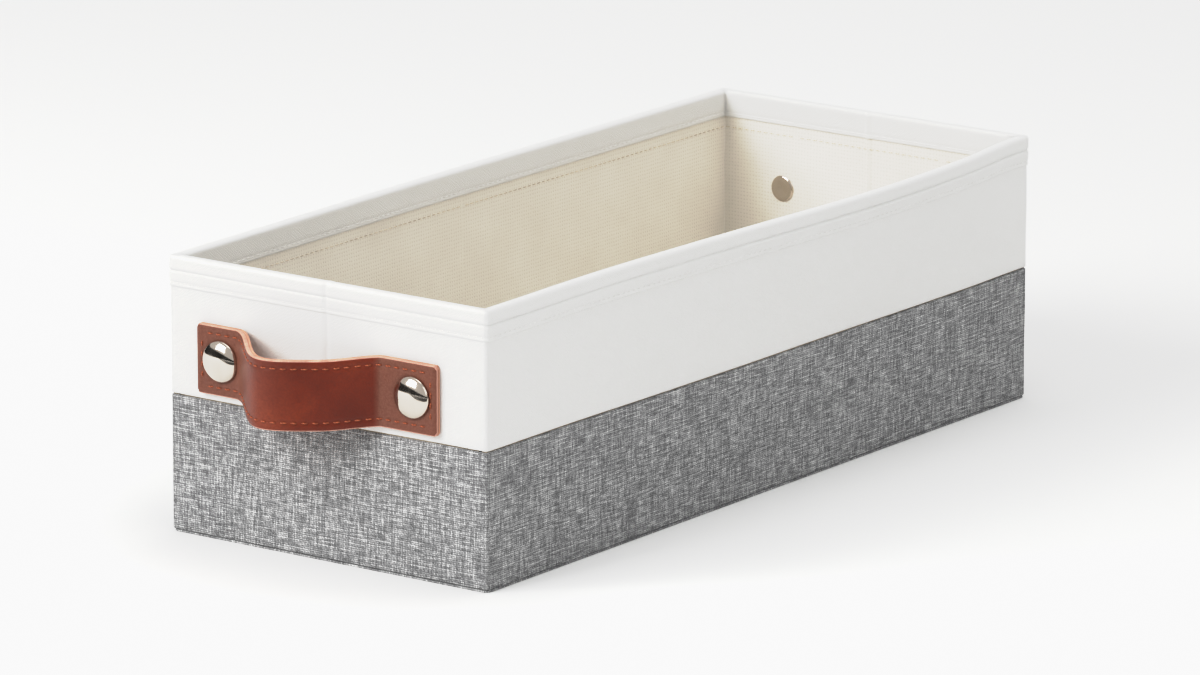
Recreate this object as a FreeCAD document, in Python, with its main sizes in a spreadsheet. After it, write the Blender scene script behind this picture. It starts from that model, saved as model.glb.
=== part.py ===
import FreeCAD, Part
import math
import os

import Sketcher

# Collapsible fabric storage bin: an open box of card boards between an outer cloth and a lining, with a
# folded hem round its rim, a sewn cloth floor, a loose base board and a riveted leather handle on each end.
# Frame: millimetres, +Z up, the handled ends face -Y (front) and +Y (back), and the origin is at the middle
# of the underside.
# The bin folds flat: both ends crease down their middles and fold inwards, so the walls come together.

V = FreeCAD.Vector
doc = FreeCAD.newDocument("fabric_storage_bin")

# ---------------------------------------------------------------- driving dimensions

sheet = doc.addObject("Spreadsheet::Sheet", "dims")
DIMENSIONS = [
    ("bin_length", 335),  # outside, along Y, without the handles
    ("bin_width", 140),  # outside, along X
    ("bin_height", 100),
    ("seam_height", 50),  # where the white cloth meets the grey cloth
    ("hem_thick", 0.6),
    ("hem_outer_depth", 11),
    ("hem_inner_depth", 10),
    ("cloth_thick", 0.8),  # outer cloth
    ("board_thick", 2),
    ("board_drop", 1),  # the boards stop this far below the folded edge
    ("lining_thick", 0.4),
    ("floor_thick", 0.8),
    ("floor_lining_thick", 0.4),
    ("fold_gap", 0.3),  # between two panels that fold against each other
    ("base_card_thick", 2.2),
    ("base_cover_thick", 0.4),
    ("base_clearance", 1.6),  # round the base board, inside the rim
    ("handle_shift", -3),  # the front rivets' middle, from the crease
    ("handle_height", 65.5),  # the middle of the strap
    ("strap_width", 25),
    ("backing_thick", 1),
    ("leather_thick", 1.4),
    ("seat_gap", 0.2),  # between the cloth and the strap, and under the rivet caps
    ("bow_steep_foot", 35),  # middle of the rivets to the bend at the bow's steep side
    ("bow_gentle_foot", 27.5),  # and to the bend at its gentle side
    ("bow_depth", 21.5),
    ("bow_steep_angle", 48),
    ("bow_gentle_angle", 36),
    ("bow_radius", 8),
    ("rivet_spacing", 84),
    ("rivet_inset", 10.5),  # rivet to the strap's tip
    ("rivet_cap_radius", 7.6),
    ("rivet_cap_height", 2.8),
    ("rivet_tube_radius", 2.2),
    ("rivet_bore_radius", 1.6),
    ("rivet_stud_radius", 1.5),
    ("rivet_hole_radius", 2.4),
    ("rivet_foot_radius", 5),
    ("rivet_foot_thick", 1),
]
for row, (alias, value) in enumerate(DIMENSIONS, start=1):
    sheet.set(f"A{row}", alias)
    sheet.set(f"B{row}", str(value))
    sheet.setAlias(f"B{row}", alias)
doc.recompute()
size = {alias: float(sheet.get(alias)) for alias, _ in DIMENSIONS}


def cell(expression):
    """An expression in the sheet's own aliases, with each alias made a reference to the sheet."""
    words = expression.replace("(", "( ").replace(")", " )").split()
    return " ".join(f"dims.{word}" if word in size else word for word in words)


# Depths into a wall, from the outside of the hem.
CLOTH_FACE = "hem_thick"
BOARD_FACE = "hem_thick + cloth_thick"
LINING_FACE = "hem_thick + cloth_thick + board_thick"
LINING_BACK = "hem_thick + cloth_thick + board_thick + lining_thick"
WALL_DEPTH = "hem_thick + cloth_thick + board_thick + lining_thick + hem_thick"

# Heights.
PANEL_FOOT = "floor_thick + floor_lining_thick + fold_gap"
PANEL_TOP = "bin_height - hem_thick"
BOARD_TOP = "bin_height - hem_thick - board_drop"

SIDES = {"left": -1, "right": 1}
ENDS = {"front": -1, "back": 1}

nodes = []


def keep(sub_part, label):
    sub_part.Label = label
    nodes.append(sub_part)
    return sub_part


def block(name, low, high):
    """A box between two corners, given as expressions."""
    box = doc.addObject("Part::Box", name)
    for prop, near, far in zip(("Length", "Width", "Height"), low, high):
        box.setExpression(prop, cell(f"( {far} ) - ( {near} )"))
    for axis, near in zip("xyz", low):
        box.setExpression(f"Placement.Base.{axis}", cell(near))
    return box


def rivet_places(end):
    """The two rivets of one end, as expressions for x: the back handle is the front one turned half round."""
    shift = "handle_shift" if end == "front" else "( 0 - handle_shift )"
    return {"left": f"{shift} - rivet_spacing / 2", "right": f"{shift} + rivet_spacing / 2"}


def drilled(name, solid, end, side):
    """The solid with the rivet's hole through it, along Y."""
    drill = doc.addObject("Part::Cylinder", f"{name}_drill")
    drill.setExpression("Radius", cell("rivet_hole_radius"))
    drill.setExpression("Height", cell("4 * ( hem_thick + cloth_thick + board_thick + lining_thick )"))
    near = "0 - bin_length / 2 - 2 * hem_thick" if end == "front" else "bin_length / 2 + 2 * hem_thick"
    turn = -90 if end == "front" else 90
    drill.Placement = FreeCAD.Placement(V(0, 0, 0), FreeCAD.Rotation(V(1, 0, 0), turn))
    drill.setExpression("Placement.Base.x", cell(rivet_places(end)[side]))
    drill.setExpression("Placement.Base.y", cell(near))
    drill.setExpression("Placement.Base.z", cell("handle_height"))
    cut = doc.addObject("Part::Cut", f"{name}_drilled")
    cut.Base = solid
    cut.Tool = drill
    return cut


# ---------------------------------------------------------------- wall panels


def across(sign, half, shallow, deep):
    """From one depth to another into a wall on the positive or the negative side, as low and high."""
    if sign > 0:
        return f"{half} - ( {deep} )", f"{half} - ( {shallow} )"
    return f"0 - {half} + {shallow}", f"0 - {half} + {deep}"


def wall_block(name, sign, shallow, deep, foot, top):
    """A slab of a long wall. The outer cloth and the hem's outer leg also turn round the wall's two ends."""
    x_low, x_high = across(sign, "bin_width / 2", shallow, deep)
    reach = f"bin_length / 2 - ( {shallow} )"
    side = block(name, (x_low, f"0 - ( {reach} )", foot), (x_high, reach, top))
    if deep not in (CLOTH_FACE, BOARD_FACE):
        return side
    wrapped = doc.addObject("Part::MultiFuse", f"{name}_wrapped")
    end_low, end_high = across(sign, "bin_width / 2", shallow, WALL_DEPTH)
    returns = []
    for end, end_sign in ENDS.items():
        y_low, y_high = across(end_sign, "bin_length / 2", shallow, deep)
        returns.append(block(f"{name}_{end}_return", (end_low, y_low, foot), (end_high, y_high, top)))
    wrapped.Shapes = [side] + returns
    return wrapped


def end_block(name, sign, half_sign, shallow, deep, foot, top):
    """A slab of half an end panel, from the corner to the crease."""
    y_low, y_high = across(sign, "bin_length / 2", shallow, deep)
    outer = f"bin_width / 2 - ( {WALL_DEPTH} ) - fold_gap"
    crease = "fold_gap / 2"
    if half_sign > 0:
        return block(name, (crease, y_low, foot), (outer, y_high, top))
    return block(name, (f"0 - ( {outer} )", y_low, foot), (f"0 - {crease}", y_high, top))


def hem(name, slab):
    """A folded strip over a panel's top edge: two legs and the fold, as one solid. slab(name, ...) makes a
    slab of that panel between two depths and two heights."""
    outer_leg = slab(f"{name}_outer_leg", "0", CLOTH_FACE, "bin_height - hem_outer_depth", PANEL_TOP)
    inner_leg = slab(f"{name}_inner_leg", LINING_BACK, WALL_DEPTH, "bin_height - hem_inner_depth", PANEL_TOP)
    fold = slab(f"{name}_fold", "0", WALL_DEPTH, PANEL_TOP, "bin_height")
    joined = doc.addObject("Part::MultiFuse", name)
    joined.Shapes = [outer_leg, inner_leg, fold]
    return keep(joined, name)


def panel(name, slab, pierce=None):
    """The five layers of one panel. pierce(name, solid) drills the layers that a rivet goes through."""
    pierce = pierce or (lambda _, solid: solid)
    board = slab(f"{name}_board_slab", BOARD_FACE, LINING_FACE, PANEL_FOOT, BOARD_TOP)
    keep(pierce(f"{name}_board", board), f"{name}_board")
    upper = slab(f"{name}_upper_slab", CLOTH_FACE, BOARD_FACE, "seam_height", PANEL_TOP)
    keep(pierce(f"{name}_upper_cloth", upper), f"{name}_upper_cloth")
    lower = slab(f"{name}_lower_slab", CLOTH_FACE, BOARD_FACE, PANEL_FOOT, "seam_height")
    keep(lower, f"{name}_lower_cloth")
    lining = slab(f"{name}_lining_slab", LINING_FACE, LINING_BACK, PANEL_FOOT, PANEL_TOP)
    keep(pierce(f"{name}_lining", lining), f"{name}_lining")
    hem(f"{name}_hem", slab)


def wall(side):
    def slab(name, *span):
        return wall_block(name, SIDES[side], *span)

    panel(f"{side}_wall", slab)


def end_half(end, side):
    def slab(name, *span):
        return end_block(name, ENDS[end], SIDES[side], *span)

    def pierce(name, solid):
        return drilled(name, solid, end, side)

    panel(f"{end}_{side}", slab, pierce)


for side in SIDES:
    wall(side)
for end in ENDS:
    for side in SIDES:
        end_half(end, side)


# ---------------------------------------------------------------- floor and base board


def centred_sheet(name, half_width, half_length, foot, top):
    low = (f"0 - ( {half_width} )", f"0 - ( {half_length} )", foot)
    return block(name, low, (half_width, half_length, top))


def floor():
    """The cloth floor, as wide as the walls, and its lining between them."""
    cloth = centred_sheet(
        "floor_cloth_sheet", "bin_width / 2 - hem_thick", "bin_length / 2 - hem_thick", "0", "floor_thick"
    )
    keep(cloth, "floor_cloth")
    lining = centred_sheet(
        "floor_lining_sheet",
        f"bin_width / 2 - ( {LINING_BACK} )",
        f"bin_length / 2 - ( {LINING_BACK} )",
        "floor_thick",
        "floor_thick + floor_lining_thick",
    )
    keep(lining, "floor_lining")


def base_board():
    """A loose card in a cloth cover. It is narrower than the rim, so it lifts out."""
    half_width = f"bin_width / 2 - ( {WALL_DEPTH} ) - base_clearance"
    half_length = f"bin_length / 2 - ( {WALL_DEPTH} ) - base_clearance"
    card_top = f"{PANEL_FOOT} + base_cover_thick + base_card_thick"
    card_size = (
        f"{half_width} - base_cover_thick",
        f"{half_length} - base_cover_thick",
        f"{PANEL_FOOT} + base_cover_thick",
        card_top,
    )
    outside = centred_sheet(
        "base_cover_outside", half_width, half_length, PANEL_FOOT, f"{card_top} + base_cover_thick"
    )
    inside = centred_sheet("base_cover_inside", *card_size)
    cover = doc.addObject("Part::Cut", "base_cover")
    cover.Base = outside
    cover.Tool = inside
    keep(cover, "base_board_cover")
    keep(centred_sheet("base_card", *card_size), "base_board_card")


floor()
base_board()


# ---------------------------------------------------------------- handles


STRAP_TIP = size["rivet_spacing"] / 2 + size["rivet_inset"]


def strap_slope(foot, angle, way, offset):
    """One slope of the bow, from the flat end up to the crest. way is 1 if it climbs towards +X and -1 if it
    climbs towards -X. Gives its first point, its edges and its last point."""
    radius = size["bow_radius"]
    rise = 2 * radius * (1 - math.cos(angle))
    ramp = (size["bow_depth"] - rise) / math.sin(angle)
    run = 2 * radius * math.sin(angle) + ramp * math.cos(angle)
    low_centre = V(foot, radius)
    high_centre = V(foot + way * run, size["bow_depth"] - radius)

    def low_point(turn):
        return low_centre + V(way * math.sin(turn), -math.cos(turn)) * (radius - offset)

    def high_point(turn):
        return high_centre + V(-way * math.sin(turn), math.cos(turn)) * (radius + offset)

    pieces = [
        Part.Arc(low_point(0), low_point(angle / 2), low_point(angle)),
        Part.LineSegment(low_point(angle), high_point(angle)),
        Part.Arc(high_point(angle), high_point(angle / 2), high_point(0)),
    ]
    return low_point(0), [piece.toShape() for piece in pieces], high_point(0)


def strap_edge(offset):
    """One long edge of the back strap seen from above, offset outwards from the surface next to the cloth:
    flat end, gentle slope, crest, steep slope, flat end. x is along the end from the middle of the rivets,
    y is outwards."""
    gentle_angle, steep_angle = (math.radians(size[f"bow_{kind}_angle"]) for kind in ("gentle", "steep"))
    gentle_foot, gentle, crest_start = strap_slope(-size["bow_gentle_foot"], gentle_angle, 1, offset)
    steep_foot, steep, crest_end = strap_slope(size["bow_steep_foot"], steep_angle, -1, offset)
    flats = [
        Part.LineSegment(V(-STRAP_TIP, offset), gentle_foot),
        Part.LineSegment(crest_start, crest_end),
        Part.LineSegment(steep_foot, V(STRAP_TIP, offset)),
    ]
    return gentle + steep + [flat.toShape() for flat in flats]


def strap_layer(label, end, inner, outer):
    """One layer of the strap, between two offsets, standing on edge, with its two rivet holes."""
    closing = [Part.LineSegment(V(x, inner), V(x, outer)).toShape() for x in (-STRAP_TIP, STRAP_TIP)]
    outline = Part.Wire(Part.__sortEdges__(strap_edge(inner) + strap_edge(outer) + closing))
    solid = Part.Face(outline).extrude(V(0, 0, size["strap_width"]))
    for x in (-size["rivet_spacing"] / 2, size["rivet_spacing"] / 2):
        start = V(x, -outer, size["strap_width"] / 2)
        solid = solid.cut(Part.makeCylinder(size["rivet_hole_radius"], 3 * outer, start, V(0, 1, 0)))
    strap = doc.addObject("Part::Feature", f"{label}_strap")
    strap.Shape = solid
    seat = size["bin_length"] / 2 - size["hem_thick"] + size["seat_gap"]
    foot = size["handle_height"] - size["strap_width"] / 2
    if end == "front":
        # Half a turn about Z sends the strap's outward Y to -Y.
        turn = FreeCAD.Rotation(V(0, 0, 1), 180)
        strap.Placement = FreeCAD.Placement(V(size["handle_shift"], -seat, foot), turn)
    else:
        strap.Placement = FreeCAD.Placement(V(-size["handle_shift"], seat, foot), FreeCAD.Rotation())
    keep(strap, label)


def handle(end):
    backing = size["backing_thick"]
    strap_layer(f"{end}_handle_backing", end, 0, backing)
    strap_layer(f"{end}_handle_leather", end, backing, backing + size["leather_thick"])


for end in ENDS:
    handle(end)


# ---------------------------------------------------------------- rivets

# Each rivet is a domed cap with a tube, pushed from outside through the strap and the wall, and a stud with a
# flat foot, pushed into the tube from inside. Both are turned about the rivet's axis: x is the radius and y is
# the distance outwards from the cloth.


def origin_plane(body, role):
    return next(feature for feature in body.Origin.OriginFeatures if feature.Role == role)


def pinned(sketch, vertex, axis, expression):
    """Holds one coordinate of a line's start at an expression."""
    value = float(sheet.evalExpression(cell(expression)))
    if abs(value) < 1e-9:
        sketch.addConstraint(Sketcher.Constraint("PointOnObject", vertex, 1, -2 if axis == "X" else -1))
        return
    number = sketch.addConstraint(Sketcher.Constraint(f"Distance{axis}", -1, 1, vertex, 1, value))
    sketch.setExpression(f"Constraints[{number}]", cell(expression))


def turned(label, points, place, end):
    """A solid of revolution about the sketch's vertical axis, then laid along Y at a rivet's place."""
    body = doc.addObject("PartDesign::Body", f"{label}_body")
    sketch = body.newObject("Sketcher::SketchObject", f"{label}_profile")
    sketch.AttachmentSupport = [(origin_plane(body, "XY_Plane"), "")]
    sketch.MapMode = "FlatFace"
    values = [V(*(float(sheet.evalExpression(cell(part))) for part in point)) for point in points]
    count = len(points)
    for index, start in enumerate(values):
        sketch.addGeometry(Part.LineSegment(start, values[(index + 1) % count]))
    for index in range(count):
        sketch.addConstraint(Sketcher.Constraint("Coincident", index, 2, (index + 1) % count, 1))
    for index, point in enumerate(points):
        pinned(sketch, index, "X", point[0])
        pinned(sketch, index, "Y", point[1])
    turn = body.newObject("PartDesign::Revolution", f"{label}_turn")
    turn.Profile = sketch
    turn.ReferenceAxis = (sketch, ["V_Axis"])
    turn.Angle = 360
    body.Tip = turn
    outwards = 180 if end == "front" else 0
    body.Placement = FreeCAD.Placement(V(), FreeCAD.Rotation(V(0, 0, 1), outwards))
    face = "bin_length / 2 - hem_thick"
    body.setExpression("Placement.Base.x", cell(place))
    body.setExpression("Placement.Base.y", cell(f"0 - ( {face} )" if end == "front" else face))
    body.setExpression("Placement.Base.z", cell("handle_height"))
    return keep(body, label)


def rivet(end, side):
    strap = "seat_gap + backing_thick + leather_thick"
    seat = f"{strap} + seat_gap / 2"
    inside = "0 - cloth_thick - board_thick - lining_thick"
    crown = f"{seat} + rivet_cap_height"
    shoulder = f"{seat} + rivet_cap_height / 4"
    bore_end = f"{seat} + rivet_cap_height / 4"
    cap = [
        ("0", bore_end),
        ("rivet_bore_radius", bore_end),
        ("rivet_bore_radius", inside),
        ("rivet_tube_radius", inside),
        ("rivet_tube_radius", seat),
        ("rivet_cap_radius", seat),
        ("rivet_cap_radius", shoulder),
        ("rivet_cap_radius * 0.78", f"{seat} + rivet_cap_height * 0.66"),
        ("rivet_cap_radius * 0.45", f"{seat} + rivet_cap_height * 0.92"),
        ("0", crown),
    ]
    foot_seat = f"{inside} - seat_gap / 2"
    foot = f"{foot_seat} - rivet_foot_thick"
    stud = [
        ("0", foot),
        ("rivet_foot_radius", foot),
        ("rivet_foot_radius", foot_seat),
        ("rivet_stud_radius", foot_seat),
        ("rivet_stud_radius", strap),
        ("0", strap),
    ]
    place = rivet_places(end)[side]
    turned(f"{end}_{side}_rivet_cap", cap, place, end)
    turned(f"{end}_{side}_rivet_stud", stud, place, end)


for end in ENDS:
    for side in SIDES:
        rivet(end, side)

# ---------------------------------------------------------------- check and write

doc.recompute()
for item in doc.Objects:
    if "Invalid" in item.State or "Error" in item.State:
        raise RuntimeError(f"{item.Name} failed: {item.State}")
os.makedirs("parts", exist_ok=True)
for sub_part in nodes:
    shape = sub_part.Shape
    if shape.isNull() or not shape.isValid() or not shape.Solids:
        raise RuntimeError(f"{sub_part.Label} has no valid solid")
    shape.exportStep(f"parts/{sub_part.Label}.step")
    box = shape.BoundBox
    print(f"{sub_part.Label:28s} {shape.Volume:10.1f} mm3  solids {len(shape.Solids)}  "
          f"x {box.XMin:.2f}..{box.XMax:.2f}  y {box.YMin:.2f}..{box.YMax:.2f}  z {box.ZMin:.2f}..{box.ZMax:.2f}")
print(len(nodes), "sub-parts")
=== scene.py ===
import math

import bpy
from mathutils import Matrix, Vector, noise


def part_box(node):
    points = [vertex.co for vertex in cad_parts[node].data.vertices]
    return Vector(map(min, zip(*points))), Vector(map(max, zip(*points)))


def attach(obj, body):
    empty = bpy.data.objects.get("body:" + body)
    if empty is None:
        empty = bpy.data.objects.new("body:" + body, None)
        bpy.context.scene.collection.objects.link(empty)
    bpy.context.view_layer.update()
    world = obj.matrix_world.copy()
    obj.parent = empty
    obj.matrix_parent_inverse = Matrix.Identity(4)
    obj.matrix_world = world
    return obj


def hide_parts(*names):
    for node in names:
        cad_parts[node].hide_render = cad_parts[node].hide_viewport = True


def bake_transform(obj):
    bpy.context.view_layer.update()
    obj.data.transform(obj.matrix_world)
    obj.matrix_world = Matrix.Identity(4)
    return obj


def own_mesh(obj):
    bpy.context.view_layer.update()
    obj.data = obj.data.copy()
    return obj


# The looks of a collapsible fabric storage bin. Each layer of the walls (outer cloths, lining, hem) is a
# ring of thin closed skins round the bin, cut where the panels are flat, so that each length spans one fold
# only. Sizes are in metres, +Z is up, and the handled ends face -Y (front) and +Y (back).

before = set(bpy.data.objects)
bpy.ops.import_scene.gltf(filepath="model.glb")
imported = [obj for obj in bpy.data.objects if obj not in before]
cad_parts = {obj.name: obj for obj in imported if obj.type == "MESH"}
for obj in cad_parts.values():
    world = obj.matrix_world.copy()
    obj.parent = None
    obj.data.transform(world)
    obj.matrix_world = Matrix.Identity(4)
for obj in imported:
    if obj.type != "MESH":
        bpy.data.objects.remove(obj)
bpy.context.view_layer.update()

MM = 0.001

# -------------------- sizes, from the frame

hem_low, hem_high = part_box("left_wall_hem")
upper_low, upper_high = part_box("left_wall_upper_cloth")
board_low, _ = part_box("left_wall_board")
lining_low, lining_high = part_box("left_wall_lining")
floor_low, floor_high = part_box("floor_cloth")
inner_floor_low, inner_floor_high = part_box("floor_lining")
strap_low, strap_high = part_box("front_handle_leather")
cap_low, cap_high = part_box("front_left_rivet_cap")

HALF_WIDTH = -hem_low.x
HALF_LENGTH = hem_high.y
HEIGHT = hem_high.z

# Depths into a wall, from the outside of the hem.
CLOTH_OUT = upper_low.x + HALF_WIDTH
CLOTH_IN = board_low.x + HALF_WIDTH
LINING_OUT = lining_low.x + HALF_WIDTH
LINING_IN = lining_high.x + HALF_WIDTH
HEM_IN = hem_high.x + HALF_WIDTH

SEAM = upper_low.z  # where the white cloth meets the grey cloth
PANEL_TOP = upper_high.z
FOOT_GAP = 0.05 * MM  # under the walls
PANEL_FOOT = floor_high.z + FOOT_GAP
LINING_FLOOR_TOP = inner_floor_low.z + 0.2 * MM  # the floor's lining, pressed thin
END_FOOT = LINING_FLOOR_TOP + FOOT_GAP  # the ends sweep over it as they fold
LINING_FOOT = lining_low.z

CORNER_RADIUS = 2 * MM  # outside, at the hem
INNER_RADIUS = 0.5 * MM
END_CUT = 33 * MM  # where the rings are cut on the ends, from the crease
HEM_OUTER_DEPTH = HEIGHT - hem_low.z
HEM_INNER_DEPTH = 10 * MM
HEM_GROOVE_DEPTH = 5.2 * MM
HEM_SEAM_INSET = 1.5 * MM  # the hem's stitches, from its edges
HEM_STITCH_LEVEL = 0.36 * MM  # and from the outside of the hem
LINING_SAG = 0.6 * MM
CREASE_DENT = 0.6 * MM
LINING_STITCH_DEPTH = 14 * MM

ENDS = {"front": -1, "back": 1}
WALLS = {"left": -1, "right": 1}


def spread(low, high, step):
    """Evenly spaced values from low to high, both included, about a step apart."""
    count = max(1, round(abs(high - low) / step))
    return [low + (high - low) * index / count for index in range(count + 1)]


def smooth(value):
    value = min(1.0, max(0.0, value))
    return value * value * (3 - 2 * value)


def bump(value, middle, width):
    """1 at the middle, fading to nothing a few widths away."""
    return math.exp(-(((value - middle) / width) ** 2))


def uneven(x, y, z):
    """Smooth random values, about -1 to 1, the same in every run."""
    return noise.noise(Vector((x, y, z)))


# -------------------- materials

CLOTH_MAP = "cloth_metres"  # a UV map in metres along and across the cloth


def new_material(name):
    material = bpy.data.materials.new(name)
    material.use_nodes = True
    return material, material.node_tree, material.node_tree.nodes["Principled BSDF"]


def object_place(tree):
    return add(tree, "TexCoord").outputs["Object"]


def feed(tree, node, inputs):
    """Sets a node's inputs to values, or links them to sockets."""
    for key, value in inputs.items():
        if isinstance(value, bpy.types.NodeSocket):
            tree.links.new(value, node.inputs[key])
        else:
            node.inputs[key].default_value = value


def add(tree, kind, inputs=None, **settings):
    """A shader node with its settings and inputs."""
    node = tree.nodes.new(f"ShaderNode{kind}")
    for key, value in settings.items():
        setattr(node, key, value)
    feed(tree, node, inputs or {})
    return node


def maths(tree, operation, first, second=0.0):
    return add(tree, "Math", {0: first, 1: second}, operation=operation).outputs[0]


def mixed(tree, share, first, second):
    """A colour between two colours."""
    return add(tree, "Mix", {0: share, 6: first, 7: second}, data_type="RGBA").outputs[2]


def ranged(tree, value, start, end, at_start, at_end):
    """Goes evenly from one value to another between a start and an end, and stays the same outside them."""
    inputs = {0: value, 1: start, 2: end, 3: at_start, 4: at_end}
    return add(tree, "MapRange", inputs).outputs[0]


def rgb(red, green, blue):
    return (red, green, blue, 1.0)


def ramp(tree, value, stops):
    """A colour ramp: stops are (position, colour)."""
    node = add(tree, "ValToRGB", {0: value})
    elements = node.color_ramp.elements
    while len(elements) < len(stops):
        elements.new(0.5)
    for element, (position, colour) in zip(elements, stops):
        element.position = position
        element.color = colour
    return node.outputs[0]


def cloth_place(tree):
    """The place on the cloth in metres, as a vector and as its two parts, along and across."""
    uv = add(tree, "UVMap", uv_map=CLOTH_MAP).outputs[0]
    split = add(tree, "SeparateXYZ", {0: uv})
    return uv, split.outputs[0], split.outputs[1]


def scaled_noise(tree, place, along, across, detail=2.0, offset=0.0):
    """Noise with so many features per metre along and across the cloth."""
    mapping = {0: place, 1: (offset, offset, offset), 3: (along, across, 1.0)}
    moved = add(tree, "Mapping", mapping).outputs[0]
    return add(tree, "TexNoise", {"Vector": moved, "Scale": 1.0, "Detail": detail}).outputs[0]


def plain_weave(tree, along, across, pitch):
    """A plain weave's height, and which of its two threads is on top (1 for the thread that runs along)."""
    first = maths(tree, "SINE", maths(tree, "MULTIPLY", along, math.pi / pitch))
    second = maths(tree, "SINE", maths(tree, "MULTIPLY", across, math.pi / pitch))
    over = maths(tree, "GREATER_THAN", maths(tree, "MULTIPLY", first, second), 0.0)
    under = maths(tree, "SUBTRACT", 1.0, over)
    thread_along = maths(tree, "MULTIPLY", maths(tree, "ABSOLUTE", second), over)
    thread_across = maths(tree, "MULTIPLY", maths(tree, "ABSOLUTE", first), under)
    return maths(tree, "ADD", thread_along, thread_across), over


def raised(tree, shader, height, distance, strength=1.0):
    """Gives a surface a fine relief."""
    node = add(tree, "Bump", {"Height": height, "Distance": distance, "Strength": strength})
    tree.links.new(node.outputs[0], shader.inputs["Normal"])


def white_cloth():
    """Fine matt off-white canvas."""
    material, tree, shader = new_material("white_cloth")
    place, along, across = cloth_place(tree)
    height, _ = plain_weave(tree, along, across, 0.5 * MM)
    slub = scaled_noise(tree, place, 260, 1500)
    cloud = scaled_noise(tree, place, 28, 28, detail=3)
    base = mixed(tree, cloud, rgb(0.775, 0.772, 0.755), rgb(0.83, 0.827, 0.815))
    shade = mixed(tree, maths(tree, "MULTIPLY", height, 0.6), rgb(0.745, 0.74, 0.722), base)
    raised(tree, shader, maths(tree, "ADD", height, maths(tree, "MULTIPLY", slub, 0.9)), 0.12 * MM)
    feed(tree, shader, {"Base Color": shade, "Roughness": 0.88})
    feed(tree, shader, {"Sheen Weight": 0.15, "Sheen Roughness": 0.6})
    return material


def grey_cloth():
    """Linen-look cloth: light and dark threads in both directions, with long slubs and short flecks."""
    material, tree, shader = new_material("grey_cloth")
    place, along, across = cloth_place(tree)
    height, over = plain_weave(tree, along, across, 0.7 * MM)
    slubs_along = scaled_noise(tree, place, 140, 1450, detail=1.0)
    slubs_across = scaled_noise(tree, place, 1450, 170, detail=1.0, offset=7.3)
    flecks_along = scaled_noise(tree, place, 600, 1900, detail=1.0, offset=2.9)
    flecks_across = scaled_noise(tree, place, 1900, 600, detail=1.0, offset=5.1)
    flecks = add(tree, "Mix", {0: over, 2: flecks_across, 3: flecks_along}, data_type="FLOAT").outputs[0]
    cloud = scaled_noise(tree, place, 60, 60, detail=3, offset=3.1)
    tone = 0.5
    for part, weight in ((slubs_along, 0.75), (slubs_across, 0.62), (flecks, 0.65), (cloud, 0.1)):
        centred = maths(tree, "MULTIPLY", maths(tree, "SUBTRACT", part, 0.5), weight)
        tone = maths(tree, "ADD", centred, tone)
    darkest = rgb(0.13, 0.13, 0.132)
    stops = [(0.25, darkest), (0.43, rgb(0.255, 0.255, 0.258))]
    stops += [(0.57, rgb(0.42, 0.42, 0.422)), (0.79, rgb(0.74, 0.74, 0.735))]
    colour = ramp(tree, tone, stops)
    shade = mixed(tree, maths(tree, "MULTIPLY", height, 1.3), darkest, colour)
    raised(tree, shader, maths(tree, "ADD", height, tone), 0.25 * MM)
    feed(tree, shader, {"Base Color": shade, "Roughness": 0.92})
    feed(tree, shader, {"Sheen Weight": 0.12, "Sheen Roughness": 0.5})
    return material


def lining_cloth():
    """Beige non-woven cloth: random fibres, and a grid of small pressed dots."""
    material, tree, shader = new_material("lining_cloth")
    place, _, _ = cloth_place(tree)
    dots = add(tree, "TexVoronoi", {"Vector": place, "Scale": 720.0, "Randomness": 0.15}).outputs[0]
    pressed = maths(tree, "MINIMUM", maths(tree, "MULTIPLY", dots, 3.0), 1.0)
    fibres = scaled_noise(tree, place, 1600, 1600, detail=4)
    cloud = scaled_noise(tree, place, 45, 45, detail=3, offset=1.7)
    base = mixed(tree, cloud, rgb(0.66, 0.625, 0.565), rgb(0.75, 0.72, 0.66))
    shade = mixed(tree, pressed, rgb(0.60, 0.565, 0.51), base)
    raised(tree, shader, maths(tree, "ADD", pressed, maths(tree, "MULTIPLY", fibres, 0.7)), 0.08 * MM)
    feed(tree, shader, {"Base Color": shade, "Roughness": 0.8, "Sheen Weight": 0.1})
    return material


def leather(left_bend, right_bend):
    """Warm brown satin leather: fine pebbled grain, and darker and lighter patches, with a painted sheen.
    It is painted paler where it lies flat under the rivets, and this painted sheen fades out along the left
    bend.
    The bends are lengths along it."""
    material, tree, shader = new_material("leather")
    place, along, _ = cloth_place(tree)
    cells = add(tree, "TexVoronoi", {"Vector": place, "Scale": 1700.0}, feature="SMOOTH_F1")
    pebbles = cells.outputs[0]
    pores = scaled_noise(tree, place, 3600, 3600, detail=3)
    patches = scaled_noise(tree, place, 60, 60, detail=4, offset=2.2)
    stops = [(0.30, rgb(0.125, 0.012, 0.001)), (0.52, rgb(0.168, 0.0175, 0.001))]
    stops.append((0.72, rgb(0.222, 0.031, 0.004)))
    base = ramp(tree, patches, stops)
    # Painted sheen: the flaps under the rivets and the bow's left side are painted paler, in place of a
    # reflected sheen.
    painted_sheen_share = 0.8
    left_painted_sheen = ranged(tree, along, left_bend + 6 * MM, left_bend + 48 * MM, painted_sheen_share, 0.0)
    right_painted_sheen = ranged(tree, along, right_bend - 3 * MM, right_bend, 0.0, painted_sheen_share)
    painted_sheen = mixed(tree, maths(tree, "ADD", left_painted_sheen, right_painted_sheen), base, rgb(0.192, 0.087, 0.056))
    shade = mixed(tree, maths(tree, "MULTIPLY", pebbles, 0.6), painted_sheen, rgb(0.085, 0.014, 0.005))
    rough = ranged(tree, patches, 0.0, 1.0, 0.40, 0.52)
    raised(tree, shader, maths(tree, "SUBTRACT", maths(tree, "MULTIPLY", pores, 0.5), pebbles), 0.05 * MM)
    feed(tree, shader, {"Base Color": shade, "Roughness": rough, "Specular IOR Level": 0.42})
    return material


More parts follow.
